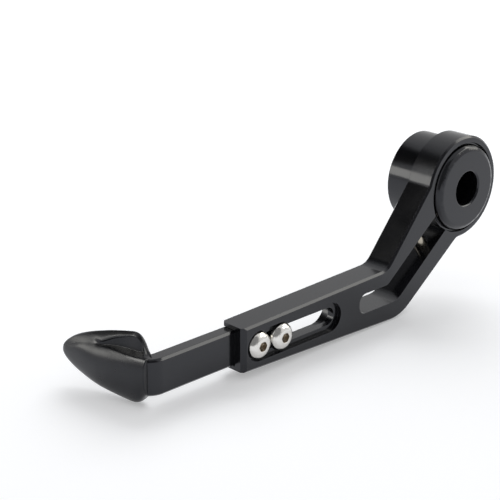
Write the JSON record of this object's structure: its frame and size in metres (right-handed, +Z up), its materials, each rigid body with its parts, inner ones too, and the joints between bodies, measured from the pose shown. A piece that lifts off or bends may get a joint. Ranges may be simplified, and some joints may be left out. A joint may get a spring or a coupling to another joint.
{
  "type": "lever guard",
  "caption": "Handlebar lever guard: cranked black arm clamped round a turned bar-end hub, with a sliding tip bar that carries a moulded fin in front of the lever.",
  "frame": {"origin": "centre of the hub's seat face, where the bolt hole opens toward the handlebar", "axes": "+Y along the handlebar axis, out of the seat face; -X along the lower half of the arm toward the tip; +Z up"},
  "size_m": [0.1658, 0.0431, 0.0589],
  "materials": {
    "hub": "black anodised, turned",
    "arm": "black anodised, satin",
    "pinch_screw": "stainless steel",
    "tip_bar": "black anodised, satin",
    "tip_screws": "stainless steel",
    "fin": "moulded, semi-gloss black"
  },
  "bodies": {
    "hub": {"hub": "hub"},
    "arm": {"arm": "arm", "pinch_screw": "pinch_screw"},
    "tip": {"tip_bar": "tip_bar", "tip_screws": "tip_screws", "fin": "fin"}
  },
  "joints": [
    {"name": "arm_turn", "type": "hinge", "parent": "hub", "child": "arm", "pos_m": [0, -0.01625, 0], "axis": [0, 1, 0], "continuous": true},
    {"name": "tip_slide", "type": "slide", "parent": "arm", "child": "tip", "axis": [1, 0, 0], "range_m": [0, 0.022]}
  ]
}
